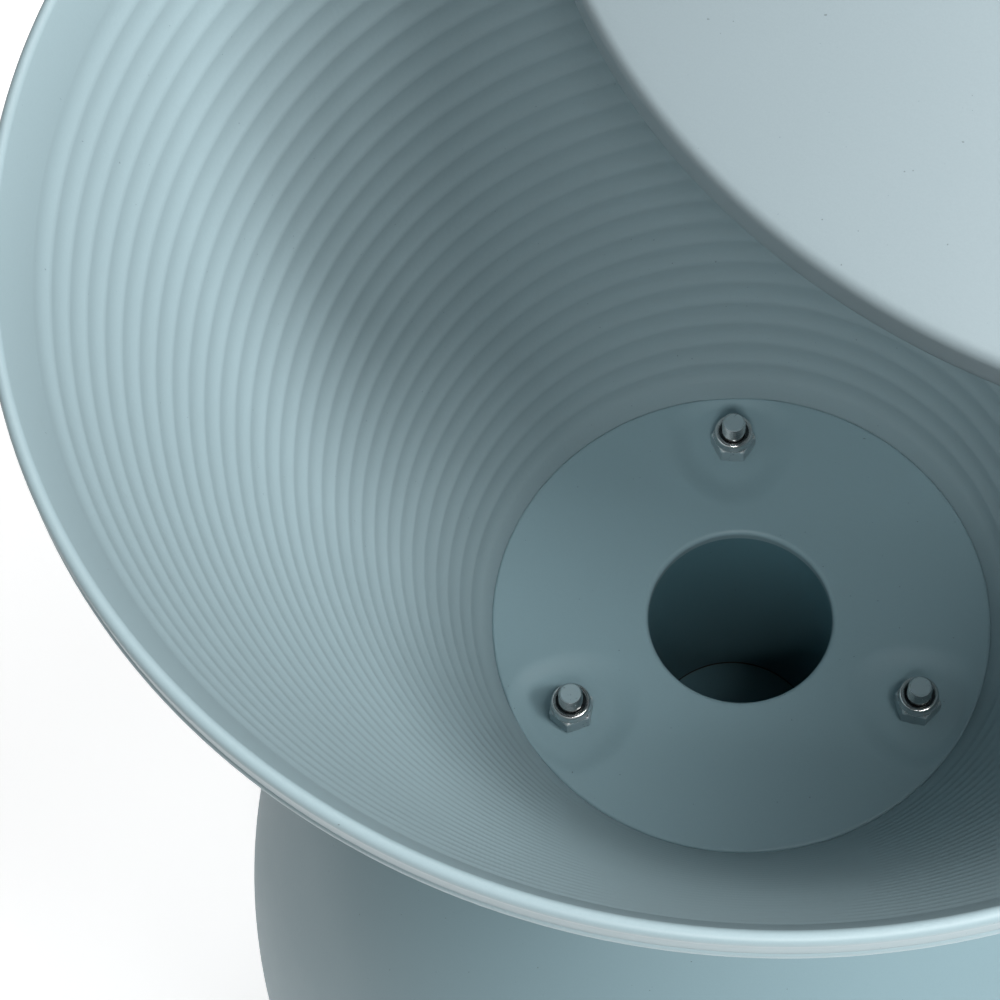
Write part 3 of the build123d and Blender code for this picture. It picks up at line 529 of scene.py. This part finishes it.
def makeInsert(spot, number):
    # a rounded nylon ring inside the nut's collar
    form = insertForm
    inner = nutForm["nylonRadius"] + form["gap"]
    outer = nutForm["lipRadius"] - form["lipGap"]
    foot = hexTop + form["foot"]
    middle = (inner + outer) / 2
    width = (outer - inner) / 2
    shoulder = nutHigh.z - form["topDepth"] - width
    r, z = joinRuns(
        straight(inner, foot, inner, shoulder),
        arcPoints(middle, shoulder, width, 180, 0, 9),
        straight(outer, shoulder, outer, foot),
    )
    grid = turned(r, z, form["segments"])
    grid[..., 0] += spot.x
    grid[..., 1] += spot.y
    piece = gridPiece(f"nylonInsert{number}", grid, "stand", wrapRows=True)
    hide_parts("nut_inserts")
    return paint(piece, insertNylon)


def partPainted(name, paintFrom, paintTo, depth):
    # zinc with the coat's paint at the first height, bare at the second, ragged between the two
    material, tree, shader, coords = newMaterial(name)
    split = tree.nodes.new("ShaderNodeSeparateXYZ")
    tree.links.new(coords, split.inputs["Vector"])
    rise = tree.nodes.new("ShaderNodeMapRange")
    rise.inputs["From Min"].default_value = paintFrom
    rise.inputs["From Max"].default_value = paintTo
    tree.links.new(split.outputs["Z"], rise.inputs["Value"])
    ragged = noiseNode(tree, coords, 1100.0, 3.0, 0.6)
    total = tree.nodes.new("ShaderNodeMath")
    total.operation = "ADD"
    tree.links.new(rise.outputs["Result"], total.inputs[0])
    tree.links.new(rangeNode(tree, ragged, -depth, depth), total.inputs[1])
    bare = rampNode(tree, total.outputs["Value"], 0.42, 0.58)
    fine = noiseNode(tree, coords, 2200.0, 2.0)
    steel = mixNode(tree, fine, (0.50, 0.51, 0.51), (0.74, 0.75, 0.74))
    dark = rampNode(tree, ragged, 0.30, 0.36)
    dusk = tuple(c * 0.35 for c in coatLook["colour"])
    painted = mixNode(tree, dark, dusk, coatLook["colour"])
    tree.links.new(mixNode(tree, bare, painted, steel), shader.inputs["Base Color"])
    tree.links.new(bare, shader.inputs["Metallic"])
    tree.links.new(rangeNode(tree, bare, 0.42, 0.20), shader.inputs["Roughness"])
    tree.links.new(bumpNode(tree, ragged, 0.35, 0.00008), shader.inputs["Normal"])
    return material


nutTurn = 25                # degrees that each nut is turned past the one before
paintEdges = dict(          # painted at the first height and bare at the second, then raggedness
    nut=(hexTop - 0.0008, hexTop + 0.0006, 0.35),
    stud=(studHigh.z + 0.0001, studHigh.z - 0.0006, 0.25),
)
nutPaint = partPainted("nutWithPaint", *paintEdges["nut"])
studPaint = partPainted("studWithPaint", *paintEdges["stud"])
for number, spot in enumerate(studSpots, 1):
    paint(makeStud(spot, number), studPaint)
    paint(makeNut(spot, number, radians(nutTurn * number)), nutPaint)
    makeInsert(spot, number)
print("plate, studs and nuts made")


# the housing

housingForm = dict(
    bottomRadius=0.1145,
    topRadius=0.0559,       # of the flat top
    sideCurve=0.305,        # profile radius above the widest place
    shoulderDrop=0.072,     # flat top down to the shoulder's start
    equatorDrop=0.195,
    wall=0.0025,
    bossRadius=0.015,
    bossStep=0.00365,       # boss face beyond the wall
    bossFillet=0.0030,
    bossSink=0.0004,        # root of the cove below the wall
    bossEdge=0.0006,        # chamfer of the boss's face
    bossHole=0.0081,
    lip=0.018,              # bottom edge turned in
    lipThick=0.003,
    topThick=0.003,
    holeGap=0.00002,        # round the top ring
    footRound=0.0006,       # corner of the bottom edge
    arcStart=0.001,         # outer side's first point, above the bottom
    arcEnd=0.0012,          # shoulder's last point, under the top and inside the flat's edge
    innerEnd=0.006,         # inner shoulder's last point, under the top
    segments=256,
    bossSegments=96,
)
shellLow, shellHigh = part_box("housing_shell")
housingWidest = shellHigh.x


def housingArcs(inset=0.0):
    # lower side, upper side and shoulder as (centre r, centre z, radius), with the angle
    # where the last two join; the shoulder's radius = chord squared / twice its sideways run
    form = housingForm
    equator = shellHigh.z - form["equatorDrop"]
    step = housingWidest - form["bottomRadius"]
    lowerCurve = ((equator - shellLow.z) ** 2 + step ** 2) / (2 * step)
    sideR = housingWidest - form["sideCurve"]
    join = shellHigh.z - form["shoulderDrop"]
    joinR = sideR + sqrt(form["sideCurve"] ** 2 - (join - equator) ** 2)
    lean = atan2(join - equator, joinR - sideR)
    run = joinR - form["topRadius"]
    across = 2 * (cos(lean) * run - sin(lean) * form["shoulderDrop"])
    curve = (run ** 2 + form["shoulderDrop"] ** 2) / across
    lower = (housingWidest - lowerCurve, equator, lowerCurve - inset)
    upper = (sideR, equator, form["sideCurve"] - inset)
    shoulder = (joinR - curve * cos(lean), join - curve * sin(lean), curve - inset)
    return lower, upper, shoulder, np.degrees(lean)


def arcAngle(arc, height):
    return np.degrees(np.arcsin((height - arc[1]) / arc[2]))


def sideRadius(height):
    lower = housingArcs()[0]
    return lower[0] + sqrt(lower[2] ** 2 - (height - lower[1]) ** 2)


def makeHousing():
    # three arcs turned about the axis, closed by the flat top, the bottom edge and an inner skin
    form = housingForm
    lower, upper, shoulder, lean = housingArcs()
    innerLower, innerUpper, innerShoulder, innerLean = housingArcs(form["wall"])
    foot, top = shellLow.z, shellHigh.z
    footRound, arcEnd = form["footRound"], form["arcEnd"]
    topR, bottomR = form["topRadius"], sideRadius(foot)
    lipR, lipTop = bottomR - form["lip"], foot + form["lipThick"]
    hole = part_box("housing_top_ring")[1].x + form["holeGap"]
    ceiling = top - form["topThick"]
    r, z = joinRuns(
        straight(lipR, foot, bottomR - footRound, foot, 4),
        straight(bottomR - footRound / 3, foot + footRound / 3, bottomR, foot + footRound, 2),
        arcPoints(*lower, arcAngle(lower, foot + form["arcStart"]), 0, 50),
        arcPoints(*upper, 0, lean, 50),
        arcPoints(*shoulder, lean, arcAngle(shoulder, top - arcEnd), 44),
        straight(topR - arcEnd, top - arcEnd / 4, topR - 0.003, top, 3),
        straight(topR - 0.004, top, hole, top, 6),
        straight(hole, top, hole, ceiling, 2),
        straight(hole, ceiling, topR - 0.008, ceiling, 4),
        arcPoints(*innerShoulder, arcAngle(innerShoulder, top - form["innerEnd"]), innerLean, 24),
        arcPoints(*innerUpper, innerLean, 0, 24),
        arcPoints(*innerLower, 0, arcAngle(innerLower, lipTop), 24),
        straight(bottomR - 0.006, lipTop, lipR, lipTop, 3),
    )
    piece = gridPiece("housingShell", turned(r, z, form["segments"]), "stand", wrapRows=True)
    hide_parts("housing_shell")
    # painted shade: the housing gets the darker copy of the coat
    return paint(piece, housingShadeCoat)


def makeBoss():
    # the gland's boss: a cylinder along y whose root spreads onto the housing in a cove
    form = housingForm
    height = middleOf("gland_body").z
    face = sideRadius(height) + form["bossStep"]
    angle = np.linspace(0, 2 * pi, form["bossSegments"], endpoint=False)
    turn = np.radians(np.linspace(90, 0, 9))
    spread = form["bossRadius"] + form["bossFillet"] * (1 - np.cos(turn))
    rise = form["bossFillet"] * (1 - np.sin(turn))
    radius = np.concatenate([spread, [form["bossRadius"], form["bossRadius"] - form["bossEdge"]],
                             [form["bossHole"]]])
    x = np.outer(radius, np.cos(angle))
    z = height + np.outer(radius, np.sin(angle))
    sideR, sideZ, sideCurve = housingArcs()[0]
    wallR = sideR + np.sqrt(sideCurve ** 2 - (z - sideZ) ** 2)
    y = np.sqrt(wallR ** 2 - x ** 2) - form["bossSink"]
    y[:len(rise)] += rise[:, None]
    y[len(rise):] = np.array([face - form["bossEdge"], face, face])[:, None]
    piece = gridPiece("glandBoss", np.stack([x, y, z], -1), "stand")
    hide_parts("housing_shell")
    # painted shade: the boss gets the housing's darker copy of the coat
    return paint(piece, housingShadeCoat)


makeHousing()
makeBoss()
print("housing made")


# the deflector

deflectorForm = dict(
    rise=0.030,
    skirt=0.008,
    corner=0.003,
    wall=0.002,
    hem=0.0016,
    hemRise=0.0004,         # from the hem's centre to where it meets the skirt's inner face
    hemTop=0.0009,
    segments=256,
)


def makeDeflector():
    # a spherical cap, a rounded corner, a short skirt with a rolled hem, and the same again
    # inside; the cap's radius = (r squared + rise squared) / twice the rise
    form = deflectorForm
    low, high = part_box("deflector_dome")
    centre = (low + high) / 2
    radius = (high.x - low.x) / 2
    apex = low.z + form["skirt"] + form["rise"]
    curve = (radius ** 2 + form["rise"] ** 2) / (2 * form["rise"])
    ballZ = apex - curve
    cornerR = radius - form["corner"]
    cornerZ = ballZ + sqrt((curve - form["corner"]) ** 2 - cornerR ** 2)
    lean = np.degrees(atan2(cornerZ - ballZ, cornerR))
    hem, wall = form["hem"], form["wall"]
    hemZ = low.z + hem
    r, z = joinRuns(
        arcPoints(0, ballZ, curve, 90, lean, 70),
        arcPoints(cornerR, cornerZ, form["corner"], lean, 0, 10),
        straight(radius, cornerZ, radius, hemZ, 5),
        arcPoints(radius - hem, hemZ, hem, 0, -180, 14),
        straight(radius - 2 * hem, hemZ + form["hemRise"], radius - wall, hemZ + form["hemTop"], 3),
        arcPoints(cornerR, cornerZ, form["corner"] - wall, 0, lean, 5),
        arcPoints(0, ballZ, curve - wall, lean, 90, 50),
    )
    grid = turned(r, z, form["segments"])
    grid[..., 0] += centre.x
    grid[..., 1] += centre.y
    piece = gridPiece("deflectorDome", grid, "deflector", creaseAngle=55.0)
    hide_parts("deflector_dome")
    # painted light: the deflector gets the greyer copy of the coat
    return paint(piece, domeLitCoat)


makeDeflector()
print("deflector made")


# floor, light and camera

floorLook = dict(size=9.0, colour=(0.93, 0.93, 0.93), shade=0.985, glow=0.52)
skyLook = dict(colour=(1.0, 1.0, 1.0), strength=0.06)
lamps = dict(                   # direction from the horn in degrees, distance, size, watts
    keyLow=dict(azimuth=330, elevation=42, distance=1.9, size=0.4, power=22.0),
    keyHigh=dict(azimuth=330, elevation=54, distance=1.9, size=0.4, power=14.0),
    front=dict(azimuth=270, elevation=54, distance=1.9, size=0.4, power=15.0),
    right=dict(azimuth=0, elevation=66, distance=1.9, size=0.6, power=11.0),
    highFront=dict(azimuth=315, elevation=66, distance=1.9, size=0.4, power=8.0),
    highBack=dict(azimuth=60, elevation=66, distance=1.9, size=0.6, power=7.0),
    back=dict(azimuth=95, elevation=42, distance=1.9, size=0.7, power=3.5),
)
lampAim = (0.0, 0.0, 0.45)
cameraView = dict(
    spot=(-0.0265, -0.2908, 0.6545),     # from the centre of the end plate's face
    right=(0.9987, 0.0, -0.0510),
    forward=(-0.0460, 0.4440, -0.8950),
    lens=102.74,                         # millimetres, as the sensor is
    sensor=36.0,
)


def makeFloor():
    size = floorLook["size"] / 2
    mesh = bpy.data.meshes.new("floorSheet")
    corners = [(-size, -size, 0), (size, -size, 0), (size, size, 0), (-size, size, 0)]
    mesh.from_pydata(corners, [], [(0, 1, 2, 3)])
    piece = bpy.data.objects.new("floorSheet", mesh)
    scene.collection.objects.link(piece)
    material, tree, shader, coords = newMaterial("floorPaper")
    cloud = noiseNode(tree, coords, 2.0, 2.0)
    shade = tuple(c * floorLook["shade"] for c in floorLook["colour"])
    colour = mixNode(tree, cloud, shade, floorLook["colour"])
    tree.links.new(colour, shader.inputs["Base Color"])
    shader.inputs["Roughness"].default_value = 0.9
    shader.inputs["Emission Color"].default_value = (1, 1, 1, 1)
    shader.inputs["Emission Strength"].default_value = floorLook["glow"]
    mesh.materials.append(material)


def makeLamp(name, look):
    light = bpy.data.lights.new(name, "AREA")
    light.shape = "DISK"
    light.size = look["size"]
    light.energy = look["power"]
    lamp = bpy.data.objects.new(name, light)
    scene.collection.objects.link(lamp)
    azimuth, elevation = radians(look["azimuth"]), radians(look["elevation"])
    away = Vector((cos(elevation) * cos(azimuth), cos(elevation) * sin(azimuth), sin(elevation)))
    lamp.location = Vector(lampAim) + away * look["distance"]
    lamp.rotation_euler = away.to_track_quat("Z", "Y").to_euler()


def makeSky():
    world = bpy.data.worlds.new("studio")
    scene.world = world
    world.use_nodes = True
    background = world.node_tree.nodes["Background"]
    background.inputs["Color"].default_value = (*skyLook["colour"], 1)
    background.inputs["Strength"].default_value = skyLook["strength"]


def makeCamera():
    camera = bpy.data.cameras.new("camera")
    camera.lens = cameraView["lens"]
    camera.sensor_width = cameraView["sensor"]
    camera.clip_start = 0.01
    camera.clip_end = 50.0
    holder = bpy.data.objects.new("camera", camera)
    scene.collection.objects.link(holder)
    back = -Vector(cameraView["forward"]).normalized()
    right = Vector(cameraView["right"]).normalized()
    up = back.cross(right).normalized()
    right = up.cross(back).normalized()
    turn = Matrix((right, up, back)).transposed()
    holder.matrix_world = turn.to_4x4()
    holder.location = Vector((0, 0, plateFace)) + Vector(cameraView["spot"])
    scene.camera = holder


makeFloor()
makeSky()
for lampName, lampLook in lamps.items():
    makeLamp(lampName, lampLook)
makeCamera()
scene.view_settings.view_transform = "Standard"
print("stage made")
